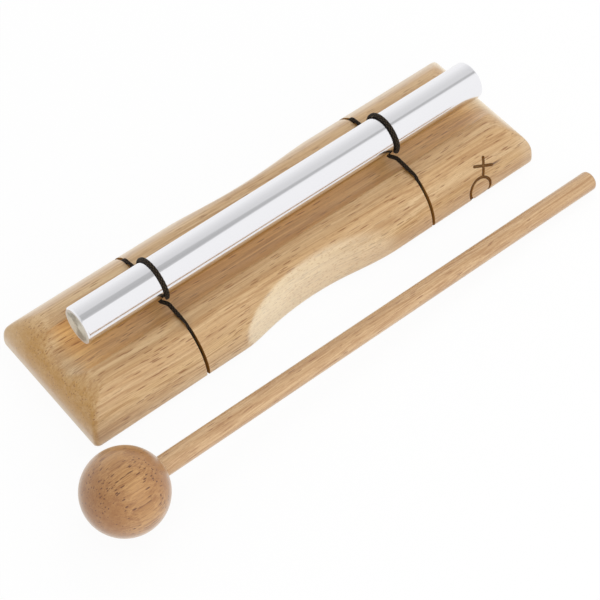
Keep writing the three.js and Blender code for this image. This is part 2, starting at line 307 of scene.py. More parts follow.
# Places that follow from the sizes
ROD_RADIUS = ROD_DIAMETER / 2
CORD_RADIUS = CORD_DIAMETER / 2
BALL_RADIUS = BALL_DIAMETER / 2
STICK_RADIUS = STICK_DIAMETER / 2
BLOCK_END = BLOCK_LENGTH / 2
SIDE_CENTRE_Y = BLOCK_WIDTH / 2 - SIDE_RADIUS
SHOULDER_ANGLE = math.asin((BLOCK_HEIGHT - SIDE_BASE) / SIDE_RADIUS)
SHOULDER_Y = SIDE_CENTRE_Y + SIDE_RADIUS * math.cos(SHOULDER_ANGLE)
STRAND_HEIGHT = BLOCK_HEIGHT + CORD_LIFT + CORD_RADIUS
TURN_RADIUS = ROD_RADIUS + TURN_CLEARANCE + TURN_THICKNESS / 2
TURN_PITCH = CORD_DIAMETER + TURN_GAP
CORD_PLACES = {
    "left": CORD_SHIFT - CORD_SPACING / 2,
    "right": CORD_SHIFT + CORD_SPACING / 2,
}

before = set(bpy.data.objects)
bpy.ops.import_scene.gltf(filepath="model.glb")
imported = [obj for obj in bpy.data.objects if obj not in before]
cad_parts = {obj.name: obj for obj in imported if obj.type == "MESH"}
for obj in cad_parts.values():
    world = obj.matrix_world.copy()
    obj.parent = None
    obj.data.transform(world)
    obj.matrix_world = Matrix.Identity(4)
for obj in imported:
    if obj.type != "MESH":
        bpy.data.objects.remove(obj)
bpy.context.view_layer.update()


# Camera
def camera():
    azimuth, elevation = CAMERA_AZIMUTH, CAMERA_ELEVATION
    back = Vector((
        math.sin(azimuth) * math.cos(elevation),
        -math.cos(azimuth) * math.cos(elevation),
        math.sin(elevation),
    ))
    data = bpy.data.cameras.new("camera")
    data.sensor_width = SENSOR_WIDTH
    data.lens = CAMERA_FOCAL_PIXELS / FRAME_PIXELS * SENSOR_WIDTH
    data.shift_x = 0.5 - CAMERA_AXIS_PIXEL[0] / FRAME_PIXELS
    data.shift_y = CAMERA_AXIS_PIXEL[1] / FRAME_PIXELS - 0.5
    data.clip_start = CAMERA_NEAREST * MM
    data.clip_end = CAMERA_FARTHEST * MM
    obj = bpy.data.objects.new("camera", data)
    turn = (-back).to_track_quat("-Z", "Y").to_matrix().to_4x4()
    place = (Vector(CAMERA_TARGET) + back * CAMERA_DISTANCE) * MM
    obj.matrix_world = Matrix.Translation(place) @ turn @ Matrix.Rotation(-CAMERA_ROLL, 4, "Z")
    bpy.context.scene.collection.objects.link(obj)
    bpy.context.scene.camera = obj


# Mesh helpers
def mesh_object(name, points, faces, crease=PLAIN_CREASE):
    mesh = bpy.data.meshes.new(name)
    mesh.from_pydata([tuple(p) for p in np.asarray(points) * MM], [], [tuple(f) for f in faces])
    obj = bpy.data.objects.new(name, mesh)
    bpy.context.scene.collection.objects.link(obj)
    clean_mesh(mesh, crease)
    return obj


def clean_mesh(mesh, crease):
    """Joins doubled points, drops collapsed faces, turns faces outward and shades edges by their angle."""
    work = bmesh.new()
    work.from_mesh(mesh)
    bmesh.ops.remove_doubles(work, verts=work.verts, dist=1e-6)
    bmesh.ops.dissolve_degenerate(work, edges=work.edges, dist=1e-7)
    bmesh.ops.recalc_face_normals(work, faces=work.faces)
    limit = math.radians(crease)
    for face in work.faces:
        face.smooth = True
    for edge in work.edges:
        edge.smooth = len(edge.link_faces) == 2 and edge.calc_face_angle(0) < limit
    work.to_mesh(mesh)
    work.free()


def mark_points(mesh, name, values):
    """Point attribute for a material to read, from one value a point or one for all."""
    attribute = mesh.attributes.new(name, "FLOAT", "POINT")
    attribute.data.foreach_set("value", np.full(len(mesh.vertices), values, np.float32))


def ring_faces(rings, sides):
    """Faces between rings of points that follow one another."""
    faces = []
    for i in range(rings - 1):
        for j in range(sides):
            k = (j + 1) % sides
            faces.append((i * sides + j, i * sides + k, (i + 1) * sides + k, (i + 1) * sides + j))
    return faces


def closed_ring_faces(rings, sides):
    """Faces between rings of points, with a face over the first ring and one over the last."""
    last = (rings - 1) * sides
    ends = [tuple(range(sides)), tuple(last + j for j in reversed(range(sides)))]
    return ring_faces(rings, sides) + ends


def unit(vectors):
    return vectors / np.linalg.norm(vectors, axis=-1, keepdims=True)


def arc(centre, radius, from_angle, to_angle, steps):
    angles = np.linspace(from_angle, to_angle, steps + 1)
    return [(centre[0] + radius * math.cos(a), centre[1] + radius * math.sin(a)) for a in angles]


def bend(start, corner, end, steps):
    """Curve that leaves its start towards the corner and comes to its end from there."""
    start, corner, end = (np.array(p, float) for p in (start, corner, end))
    shares = np.linspace(0, 1, steps + 1)
    return [tuple((1 - t) ** 2 * start + 2 * t * (1 - t) * corner + t * t * end) for t in shares]


def line(start, end, step):
    count = max(1, round(math.dist(start, end) / step))
    return [tuple(np.array(start) + (np.array(end) - np.array(start)) * i / count) for i in range(count + 1)]


def turned(name, profile, sides, place, crease=PLAIN_CREASE):
    """Solid turned about X from a profile of places along X and radii."""
    angles = np.arange(sides) * 2 * math.pi / sides
    rings = [np.stack([np.full(sides, x), r * np.cos(angles), r * np.sin(angles)], 1) for x, r in profile]
    points = np.array([place @ Vector(p) for p in np.concatenate(rings)])
    return mesh_object(name, points, ring_faces(len(profile), sides), crease)


def smooth_min(a, b, softness):
    """Lesser of two values, with the edge where they meet rounded off."""
    near = np.clip(softness - np.abs(a - b), 0, None) / np.maximum(softness, 1e-6)
    return np.minimum(a, b) - near * near * softness / 4


def smooth_step(value, low, high):
    t = np.clip((value - low) / (high - low), 0, 1)
    return t * t * (3 - 2 * t)


# Block: its section and stations, and how the ends, scallops, kerfs and sign shape it
def block_half_section():
    """Outline from the middle of the foot, up the far side and into the middle of the cove."""
    side_start = math.asin((FOOT_RADIUS - SIDE_BASE) / (SIDE_RADIUS - FOOT_RADIUS))
    side_end = SHOULDER_ANGLE - SHOULDER_SOFTNESS / SIDE_RADIUS
    flat = SIDE_CENTRE_Y + (SIDE_RADIUS - FOOT_RADIUS) * math.cos(side_start)
    side_top = (
        SIDE_CENTRE_Y + SIDE_RADIUS * math.cos(side_end),
        SIDE_BASE + SIDE_RADIUS * math.sin(side_end),
    )
    shoulder = (SHOULDER_Y, BLOCK_HEIGHT)
    top_start = (SHOULDER_Y - SHOULDER_SOFTNESS, BLOCK_HEIGHT)
    top_end = (COVE_WIDTH / 2 + COVE_SOFTNESS, BLOCK_HEIGHT)
    cove_edge = (COVE_WIDTH / 2, BLOCK_HEIGHT)
    cove_radius = ((COVE_WIDTH / 2) ** 2 + COVE_DEPTH**2) / (2 * COVE_DEPTH)
    cove_centre = (0, BLOCK_HEIGHT - COVE_DEPTH + cove_radius)
    cove_angle = math.asin(COVE_WIDTH / 2 / cove_radius)
    cove_start = -math.pi / 2 + cove_angle - COVE_SOFTNESS / cove_radius
    cove_lip = (
        cove_radius * math.cos(cove_start),
        cove_centre[1] + cove_radius * math.sin(cove_start),
    )
    points = line((0, 0), (flat, 0), FOOT_LINE_STEP)[:-1]
    points += arc((flat, FOOT_RADIUS), FOOT_RADIUS, -math.pi / 2, side_start, FOOT_ARC_STEPS)
    points += arc((SIDE_CENTRE_Y, SIDE_BASE), SIDE_RADIUS, side_start, side_end, SIDE_ARC_STEPS)[1:]
    points += bend(side_top, shoulder, top_start, SHOULDER_STEPS)[1:]
    points += line(top_start, top_end, TOP_LINE_STEP)[1:]
    points += bend(top_end, cove_edge, cove_lip, COVE_EDGE_STEPS)[1:]
    points += arc(cove_centre, cove_radius, cove_start, -math.pi / 2, COVE_ARC_STEPS)[1:]
    return points


def block_section():
    half = block_half_section()
    mirrored = [(-y, z) for y, z in half[1:-1]]
    return np.array(half + mirrored[::-1])


def end_stations(radius, steps):
    angles = np.linspace(0, math.pi / 2, steps + 1)
    return [BLOCK_END - radius * (1 - math.sin(a)) for a in angles]


def block_stations():
    """Places along X, each with the section on the block's skin or on a kerf's floor."""
    ends = end_stations(END_RADIUS, END_STEPS) + end_stations(END_FOOT_RADIUS, END_FOOT_STEPS)
    ends = sorted(set(np.round(ends, STATION_DIGITS)))
    plain = set(np.round([-x for x in ends] + ends, STATION_DIGITS))
    for low, high, step in (
        (-PLAIN_REACH, PLAIN_REACH, PLAIN_STEP),
        (-SCALLOP_REACH - SCALLOP_MARGIN, SCALLOP_REACH, SCALLOP_STEP),
        (SIGN_RING_CENTRE[0] - SIGN_MARGIN, SIGN_RING_CENTRE[0] + SIGN_MARGIN, SIGN_STEP),
    ):
        plain |= set(np.round(np.arange(low, high, step), STATION_DIGITS))
    half = KERF_WIDTH / 2
    stations = [
        (x, "skin") for x in plain
        if all(abs(x - place) > half + KERF_CLEARANCE for place in CORD_PLACES.values())
    ]
    for place in CORD_PLACES.values():
        for side in (-1, 1):
            stations.append((place + side * (half + KERF_RIM), "skin"))
            stations.append((place + side * (half + KERF_EDGE), "skin"))
            stations.append((place + side * half, "skin"))
            stations.append((place + side * (half - KERF_LIP), "floor"))
        stations.append((place, "floor"))
    return sorted(stations)


def scallop_limit(x, y, z):
    """How far out the skin may lie, as the scallop's drum cuts it."""
    shift = np.where(y < 0, NEAR_SCALLOP_SHIFT, FAR_SCALLOP_SHIFT)
    across = np.clip(np.abs(x - shift), 0, SCALLOP_DRUM_RADIUS * SCALLOP_DRUM_SHARE)
    bulge = SCALLOP_DRUM_RADIUS - np.sqrt(SCALLOP_DRUM_RADIUS**2 - across**2)
    face = BLOCK_WIDTH / 2 - SCALLOP_FOOT_DEPTH - z * math.tan(SCALLOP_LEAN)
    under = np.clip(1 - z / FOOT_RADIUS, 0, 1)
    ease = FOOT_RADIUS * (1 - np.sqrt(1 - under**2))
    return face + bulge / math.cos(SCALLOP_LEAN) - ease


def rounding(x, radius):
    """How much an arc of this radius at the block's ends takes off at a place along it."""
    over = max(abs(x) - (BLOCK_END - radius), 0)
    return radius - math.sqrt(max(radius**2 - over**2, 0))


def block_skin(x, section):
    y, z = section.T
    roof = BLOCK_HEIGHT - rounding(x, END_RADIUS)
    softness = MITRE_SOFTNESS * np.clip((BLOCK_HEIGHT - np.minimum(z, roof)) / MITRE_FADE, 0, 1)
    z = smooth_min(z, np.full_like(z, roof), softness)
    z = np.maximum(z, rounding(x, END_FOOT_RADIUS))
    rim = np.interp(x, (-SCALLOP_REACH, SCALLOP_REACH), (CRISP_RIM, SOFT_RIM))
    y = np.sign(y) * smooth_min(np.abs(y), scallop_limit(x, y, z), rim)
    y = y * (1 - rounding(x, CORNER_RADIUS) / (BLOCK_WIDTH / 2))
    return y, z


def kerf_corners():
    """Corners of the kerf's floor on the far side, from the foot up to the shoulder."""
    side_y = BLOCK_WIDTH / 2 - KERF_SIDE_DEPTH
    return [
        np.array((side_y, KERF_FOOT_DEPTH)),
        np.array((side_y, KERF_SIDE_HEIGHT)),
        np.array((SHOULDER_Y - KERF_SHOULDER_INSET, BLOCK_HEIGHT - KERF_TOP_DEPTH)),
    ]


def kerf_core():
    """Corners of the wood that stands between the two sides of a kerf."""
    half = kerf_corners()
    return np.array(half + [(-y, z) for y, z in half[::-1]])


def inside_core(y, z, margin=0.0):
    """Which points lie in that wood by more than the margin."""
    core = kerf_core()
    inside = np.ones(len(y), bool)
    for a, b in zip(core, np.roll(core, -1, 0)):
        along = b - a
        inside &= (along[0] * (z - a[1]) - along[1] * (y - a[0])) / np.hypot(*along) > margin
    return inside


def segment_foot(points, start, end):
    """Place nearest to each point on the line between two others."""
    along = end - start
    share = np.clip((points - start) @ along / (along @ along), 0, 1)
    return start + share[:, None] * along


def kerf_floor(y, z):
    """Section drawn in to the wood that the saw leaves."""
    core = kerf_core()
    points = np.stack([y, z], 1)
    best = np.full(len(points), np.inf)
    nearest = points.copy()
    for a, b in zip(core, np.roll(core, -1, 0)):
        foot = segment_foot(points, a, b)
        gap = np.hypot(*(points - foot).T)
        closer = gap < best
        nearest[closer] = foot[closer]
        best = np.minimum(best, gap)
    keep = inside_core(y, z)
    nearest[keep] = points[keep]
    return nearest[:, 0], nearest[:, 1]


def sign_gap(x, y, z):
    """Distance from the middle of the sign's lines, on the near side's skin."""
    angle = np.arctan2(z - SIDE_BASE, np.abs(y) - SIDE_CENTRE_Y)
    points = np.stack(np.broadcast_arrays(x, SIDE_RADIUS * (SHOULDER_ANGLE - angle)), 1)
    up = np.array((math.sin(SIGN_TILT), -math.cos(SIGN_TILT)))
    across = np.array((math.cos(SIGN_TILT), math.sin(SIGN_TILT)))
    centre = np.array(SIGN_RING_CENTRE)
    foot = centre + up * SIGN_RING_RADIUS
    crossing = foot + up * SIGN_STEM_LENGTH * SIGN_BAR_SHARE
    gap = np.abs(np.hypot(*(points - centre).T) - SIGN_RING_RADIUS)
    for start, end in (
        (foot, foot + up * SIGN_STEM_LENGTH),
        (crossing - across * SIGN_BAR_HALF, crossing + across * SIGN_BAR_HALF),
    ):
        gap = np.minimum(gap, np.hypot(*(points - segment_foot(points, start, end)).T))
    return np.where(y < 0, gap, np.inf)


def engrave(x, y, z):
    wall_foot = SIGN_LINE_HALF - 2 * SIGN_LINE_BLUR
    wall_top = SIGN_LINE_HALF + SIGN_LINE_BLUR
    cut = SIGN_DEPTH * (1 - smooth_step(sign_gap(x, y, z), wall_foot, wall_top))
    out_y = -(np.abs(y) - SIDE_CENTRE_Y)
    out_z = z - SIDE_BASE
    length = np.maximum(np.hypot(out_y, out_z), 1e-6)
    return y - cut * out_y / length, z - cut * out_z / length


def kerf_share(x, y, z):
    kerf = np.zeros(len(x))
    for place in CORD_PLACES.values():
        cut = np.abs(x - place) < KERF_WIDTH / 2 + KERF_EDGE / 2
        cut &= ~inside_core(y, z, KERF_MARK_MARGIN)
        kerf[cut] = 1
    return kerf


def scallop_highlight_share(x, y, z):
    """Painted highlight: paler colour in the scallops, which fades towards the right."""
    fade = np.interp(x, (-SCALLOP_REACH, SCALLOP_REACH), SCOOP_FADES)
    scallop_highlight = 1 - smooth_step((scallop_limit(x, y, z) - np.abs(y)) / fade, SCOOP_CORE, 1)
    return scallop_highlight * np.interp(x, (-SCALLOP_REACH / 2, SCALLOP_REACH), SCOOP_SHARES)


def cove_bounce_share(x, y, z):
    """Painted warm bounce light: a warmer, redder colour in the cove under the rod, which ends where the
    block's ends round down.
    """
    cove = (np.abs(y) < COVE_WIDTH / 2) & (z > BLOCK_HEIGHT / 2)
    cove = cove * smooth_step(BLOCK_HEIGHT - z, *COVE_FADE_DEPTHS)
    return cove * (1 - smooth_step(np.abs(x), BLOCK_END - END_RADIUS, BLOCK_END - END_RADIUS / 2))


def painted_highlight_share(x, y, z):
    """Painted highlight: paler colour along the foot, on the right end and on the far side; the underside is
    paler too.
    """
    foot = FOOT_SHARE * (1 - smooth_step(z, *FOOT_FADE_HEIGHTS))
    painted_highlight = np.where(z > UNDERSIDE_TOP, foot, UNDERSIDE_SHARE)
    right = smooth_step(x, *(BLOCK_END - inset for inset in RIGHT_FADE_INSETS))
    right *= 1 - RIGHT_FACE_LOSS * smooth_step(x, BLOCK_END - RIGHT_FACE_INSET, BLOCK_END)
    right *= RIGHT_NEAR_SHARE + RIGHT_FAR_GAIN * smooth_step(y, *RIGHT_GAIN_Y)
    far_side = FAR_SIDE_SHARE * smooth_step(y, COVE_WIDTH / 2, BLOCK_WIDTH / 2)
    return np.maximum(np.maximum(painted_highlight, right), far_side)


def mark_block(obj):
    """Point attributes for the wood: saw kerfs and the burnt sign, painted highlights in the scallops, along
    the foot, on the right end and on the far side, and painted warm bounce light in the cove.
    """
    mesh = obj.data
    points = np.empty(len(mesh.vertices) * 3)
    mesh.vertices.foreach_get("co", points)
    x, y, z = points.reshape(-1, 3).T / MM
    gap = sign_gap(x, y, z)
    sign = 1 - smooth_step(gap, SIGN_LINE_HALF - SIGN_LINE_BLUR, SIGN_LINE_HALF + SIGN_LINE_BLUR)
    edge = smooth_step(gap, SIGN_LINE_BLUR, SIGN_LINE_HALF - SIGN_LINE_BLUR)
    kerf = kerf_share(x, y, z)
    mark_points(mesh, "kerf", kerf)
    mark_points(mesh, "burn", sign * (BURN_MIDDLE_SHARE + (1 - BURN_MIDDLE_SHARE) * edge))
    mark_points(mesh, "scallop_highlight", scallop_highlight_share(x, y, z))
    mark_points(mesh, "cove", cove_bounce_share(x, y, z))
    mark_points(mesh, "painted_highlight", painted_highlight_share(x, y, z))
    give_bare_faces(mesh, np.maximum(kerf, sign))


def give_bare_faces(mesh, bare):
    """Second material, without lacquer, for the faces that lie mostly in the kerfs and the sign."""
    corners = np.empty(len(mesh.loops), np.int32)
    mesh.loops.foreach_get("vertex_index", corners)
    starts = np.empty(len(mesh.polygons), np.int32)
    mesh.polygons.foreach_get("loop_start", starts)
    counts = np.diff(np.append(starts, len(corners)))
    shares = np.add.reduceat(bare[corners], starts) / counts
    mesh.polygons.foreach_set("material_index", (shares > 0.5).astype(np.int32))


def cut_pockets(obj):
    radius = POCKET_DIAMETER / 2
    profile = [(-POCKET_DEPTH, 0), (-POCKET_DEPTH, radius), (POCKET_DEPTH, radius), (POCKET_DEPTH, 0)]
    upright = Matrix.Rotation(math.radians(90), 4, "Y")
    for x in CORD_PLACES.values():
        drill = turned("drill", profile, POCKET_SIDES, Matrix.Translation((x, 0, 0)) @ upright)
        cut = obj.modifiers.new("pocket", "BOOLEAN")
        cut.object = drill
        cut.solver = "EXACT"
        bpy.context.view_layer.update()
        solid = obj.evaluated_get(bpy.context.evaluated_depsgraph_get())
        mesh = bpy.data.meshes.new_from_object(solid)
        obj.modifiers.remove(cut)
        obj.data = mesh
        bpy.data.objects.remove(drill)
    clean_mesh(obj.data, BLOCK_CREASE)


def wooden_block():
    section = block_section()
    stations = block_stations()
    points = []
    for x, kind in stations:
        y, z = block_skin(x, section)
        if kind == "floor":
            y, z = kerf_floor(y, z)
        else:
            y, z = engrave(x, y, z)
        points.append(np.stack([np.full(len(section), x), y, z], 1))
    faces = closed_ring_faces(len(stations), len(section))
    block = mesh_object("block", np.concatenate(points), faces, BLOCK_CREASE)
    cut_pockets(block)
    mark_block(block)
    return block


# Rod, turned with faced and chamfered ends
def chime_rod():
    half = ROD_LENGTH / 2
    lip = ROD_EDGE_SOFTNESS
    chamfer_x = half - ROD_CHAMFER
    chamfer_r = ROD_RADIUS - ROD_CHAMFER
    end = [(chamfer_x - lip, ROD_RADIUS)]
    end += bend(end[0], (chamfer_x, ROD_RADIUS), (chamfer_x + lip, ROD_RADIUS - lip), ROD_EDGE_STEPS)[1:]
    end += bend((half - lip, chamfer_r + lip), (half, chamfer_r), (half, chamfer_r - lip), ROD_EDGE_STEPS)
    end += [(half, r) for r in np.linspace(chamfer_r - lip, 0, ROD_FACE_STEPS + 1)[1:]]
    profile = [(-x, r) for x, r in reversed(end)] + end
    place = Matrix.Translation((ROD_SHIFT, 0, ROD_HEIGHT))
    return turned("rod", profile, ROD_SIDES, place, ROD_CREASE)


# Cord's route: up the side in its kerf, under and once round the rod, and down the far side
def shoulder_bend(lift):
    _, side, top = kerf_corners()
    slope = unit(side - top)
    outward = np.array((-slope[1], slope[0]))
    on_slope = top + outward * lift
    corner = on_slope + slope * (STRAND_HEIGHT - on_slope[1]) / slope[1]
    setback = SHOULDER_BEND_RADIUS * math.tan(math.acos(slope[0]) / 2)
    return bend(corner + slope * setback, corner, (corner[0] - setback, STRAND_HEIGHT), BEND_STEPS)


def cord_rise():
    """Route from under the block up to where the level strand starts, on the far side."""
    lift = CORD_LIFT + PRESSED_HEIGHT / 2
    foot, side, top = kerf_corners()
    slope = math.atan2(side[0] - top[0], top[1] - side[1])
    points = [(0, foot[1] - lift), (foot[0] / 2, foot[1] - lift)]
    points += arc(foot, lift, -math.pi / 2, 0, BEND_STEPS)
    points += arc(side, lift, 0, slope, BEND_STEPS)
    return points + shoulder_bend(lift)


def strand_z(y):
    return STRAND_HEIGHT - STRAND_SAG * (1 - min(abs(y) / (COVE_WIDTH / 2), 1))


def turn_drift(degrees):
    angles, shares = zip(*TURN_DRIFT_SHARES)
    return TURN_PITCH * np.interp(degrees, angles, shares)


def cord_route():
    rise = cord_rise()
    strand_y = rise[-1][0]
    route = [(0, -y, z) for y, z in rise]
    route += [(0, PRESS_LENGTH * share - strand_y, STRAND_HEIGHT) for share in (0.5, 1)]
    for share_y, share_x in STRAND_DRIFT_SHARES:
        y = -TURN_RADIUS * share_y
        route.append((TURN_PITCH * share_x, y, strand_z(y)))
    for i in range(LOOP_STEPS + 1):
        angle = i * 2 * math.pi / LOOP_STEPS
        route.append((
            turn_drift(math.degrees(angle)),
            TURN_RADIUS * math.sin(angle),
            ROD_HEIGHT - TURN_RADIUS * math.cos(angle),
        ))
    for share in FAR_STRAND_SHARES:
        y = strand_y * share
        route.append((turn_drift(360) * (1 - share), y, strand_z(y)))
    route += [(0, y, z) for y, z in reversed(rise)]
    return np.array(route, float)


def smooth_route(points, step):
    """Points a step apart on a Catmull-Rom curve through the given ones, and their travel along it."""
    padded = np.vstack([2 * points[0] - points[1], points, 2 * points[-1] - points[-2]])
    dense = []
    for i in range(1, len(padded) - 2):
        p0, p1, p2, p3 = padded[i - 1:i + 3]
        d0, d1, d2 = (max(math.sqrt(math.dist(a, b)), 1e-4) for a, b in ((p0, p1), (p1, p2), (p2, p3)))
        m1 = (p2 - p1) + d1 * ((p1 - p0) / d0 - (p2 - p0) / (d0 + d1))
        m2 = (p2 - p1) + d1 * ((p3 - p2) / d2 - (p3 - p1) / (d1 + d2))
        for t in np.linspace(0, 1, ROUTE_STEPS, endpoint=False):
            dense.append(
                (2 * t**3 - 3 * t**2 + 1) * p1 + (t**3 - 2 * t**2 + t) * m1
                + (3 * t**2 - 2 * t**3) * p2 + (t**3 - t**2) * m2
            )
    dense.append(points[-1])
    dense = np.array(dense)
    travel = np.concatenate([[0], np.cumsum(np.linalg.norm(np.diff(dense, axis=0), axis=1))])
    places = np.linspace(0, travel[-1], round(travel[-1] / step) + 1)
    return np.stack([np.interp(places, travel, dense[:, k]) for k in range(3)], 1), places


def press_share(points, strand_y):
    """How far a place on the route is pressed flat by its kerf, from 0 to 1."""
    share = 1 - (strand_y - np.abs(points[:, 1])) / PRESS_LENGTH
    return np.where(points[:, 2] < BLOCK_HEIGHT, 1, np.clip(share, 0, 1))


def turn_share(points):
    """How far a place on the route lies in the turn round the rod, from 0 to 1."""
    off = np.abs(np.hypot(points[:, 1], points[:, 2] - ROD_HEIGHT) - TURN_RADIUS)
    return 1 - smooth_step(off, *TURN_FADE)


def braid_relief(travel, angle):
    """Height of the braid at a place along and round the cord, from 0 in its gaps to 1 on its strands."""
    turns = angle / (2 * math.pi) * BRAID_STRANDS
    right = turns + travel / BRAID_PITCH * BRAID_STRANDS / 2
    left = turns - travel / BRAID_PITCH * BRAID_STRANDS / 2
    over = (np.floor(right) + np.floor(left)) % 2
    ridge_right = np.abs(np.sin(math.pi * right)) * np.where(over > 0, 1, BRAID_UNDER)
    ridge_left = np.abs(np.sin(math.pi * left)) * np.where(over > 0, BRAID_UNDER, 1)
    return np.maximum(ridge_right, ridge_left)


def cord_piece(name, place, route, travel, strand_y):
    """Braided stretch of cord along a route, with its width along X."""
    tangent = unit(np.gradient(route, axis=0))
    across = unit(np.array((1.0, 0, 0)) - tangent * tangent[:, :1])
    outward = np.cross(across, tangent)
    share = press_share(route, strand_y)
    turn = turn_share(route)
    half_width = STRAND_DIAMETER / 2 + (TURN_WIDTH - STRAND_DIAMETER) / 2 * turn
    half_height = STRAND_DIAMETER / 2 + (TURN_THICKNESS - STRAND_DIAMETER) / 2 * turn
    half_width += (PRESSED_WIDTH / 2 - half_width) * share
    half_height += (PRESSED_HEIGHT / 2 - half_height) * share
    angles = np.arange(CORD_SIDES) * 2 * math.pi / CORD_SIDES
    relief = braid_relief(travel[:, None], angles[None, :])
    depth = BRAID_RELIEF * (relief - 1) * (1 - PRESSED_RELIEF_LOSS * share[:, None])
    wide = (half_width[:, None] + depth) * np.sin(angles)
    high = (half_height[:, None] + depth) * np.cos(angles)
    points = route[:, None] + across[:, None] * wide[:, :, None] + outward[:, None] * high[:, :, None]
    points = points.reshape(-1, 3) + (place, 0, 0)
    obj = mesh_object(name, points, closed_ring_faces(len(route), CORD_SIDES), CORD_CREASE)
    mark_points(obj.data, "braid", relief.reshape(-1))
    return obj


def plain_tube(name, route, radius, sides):
    """Round tube along a route, with its sides kept from twisting."""
    tangent = unit(np.gradient(route, axis=0))
    side = np.cross(tangent[0], TUBE_SIDE_HINT)
    points = []
    for here, along in zip(route, tangent):
        side = unit(side - along * (side @ along))
        up = np.cross(along, side)
        for j in range(sides):
            angle = j * 2 * math.pi / sides
            points.append(here + radius * (side * math.cos(angle) + up * math.sin(angle)))
    return mesh_object(name, points, closed_ring_faces(len(route), sides), CORD_CREASE)


def knot(name, place, height):
    """Overhand knot pulled tight, with its two cut ends."""
    t = np.linspace(KNOT_OPENING, 2 * math.pi - KNOT_OPENING, KNOT_STEPS)
    loop = np.stack([
        np.sin(t) + KNOT_DOUBLE_TURN * np.sin(2 * t),
        np.cos(t) - KNOT_DOUBLE_TURN * np.cos(2 * t),
        -KNOT_THICKNESS * np.sin(3 * t),
    ], 1) * KNOT_SCALE
    lead_in = loop[0] + unit(loop[0] - loop[1]) * TAIL_LENGTH
    lead_out = loop[-1] + unit(loop[-1] - loop[-2]) * TAIL_LENGTH
    route = np.vstack([line(lead_in, loop[0], TAIL_STEP)[:-1], loop, line(loop[-1], lead_out, TAIL_STEP)[1:]])
    obj = plain_tube(name, route + (place, 0, height + KNOT_RISE), KNOT_CORD_RADIUS, KNOT_CORD_SIDES)
    mark_points(obj.data, "braid", KNOT_BRAID)
    return obj


def elastic_cord(side):
    """Near strand, turn round the rod, far strand and knot of one cord."""
    place = CORD_PLACES[side]
    strand_y = cord_rise()[-1][0]
    route, travel = smooth_route(cord_route(), CORD_STEP)
    on_strand = (np.abs(route[:, 1]) < STRAND_FREE_Y) & (route[:, 2] > BLOCK_HEIGHT)
    first = int(np.argmax(on_strand))
    last = len(route) - 1 - int(np.argmax(on_strand[::-1]))
    near = cord_piece(f"{side}_cord_near", place, route[:first + 1], travel[:first + 1], strand_y)
    loop = cord_piece(f"{side}_cord_loop", place, route[first:last + 1], travel[first:last + 1], strand_y)
    far = cord_piece(f"{side}_cord_far", place, route[last:], travel[last:], strand_y)
    lump = knot(f"{side}_cord_knot", place, route[0][2])
    return near, loop, far, lump


# Mallet: a ball and a stick, made along X from the ball's middle and then laid on the ground
def mallet_place():
    drop = math.asin((BALL_RADIUS - STICK_RADIUS) / MALLET_REACH)
    turn = Matrix.Rotation(MALLET_YAW, 4, "Z") @ Matrix.Rotation(drop, 4, "Y")
    return Matrix.Translation((MALLET_X, MALLET_Y, BALL_RADIUS)) @ turn


def mallet_ball():
    bore = STICK_RADIUS + BORE_GAP
    mouth = math.atan2(bore, math.sqrt(BALL_RADIUS**2 - bore**2))
    profile = [(-BALL_RADIUS, 0)] + arc((0, 0), BALL_RADIUS, math.pi, mouth, BALL_STEPS)[1:]
    profile += [(BALL_RADIUS - BORE_DEPTH, bore), (BALL_RADIUS - BORE_DEPTH, 0)]
    return turned("ball", profile, BALL_SIDES, mallet_place(), MALLET_CREASE)


def mallet_stick():
    start = BALL_RADIUS - BORE_DEPTH + BORE_GAP
    corner = (MALLET_REACH - TIP_ROUND, STICK_RADIUS - TIP_ROUND)
    profile = [(start, 0), (start, STICK_RADIUS)]
    profile += line((start, STICK_RADIUS), (corner[0], STICK_RADIUS), STICK_STEP)[1:-1]
    profile += arc(corner, TIP_ROUND, math.pi / 2, 0, TIP_STEPS)
    profile += [(MALLET_REACH, r) for r in np.linspace(corner[1], 0, TIP_FACE_STEPS + 1)[1:]]
    return turned("stick", profile, STICK_SIDES, mallet_place(), MALLET_CREASE)


# Materials
def linear(red, green, blue):
    def channel(value):
        value /= 255
        return value / 12.92 if value <= 0.04045 else ((value + 0.055) / 1.055) ** 2.4
    return (channel(red), channel(green), channel(blue), 1)


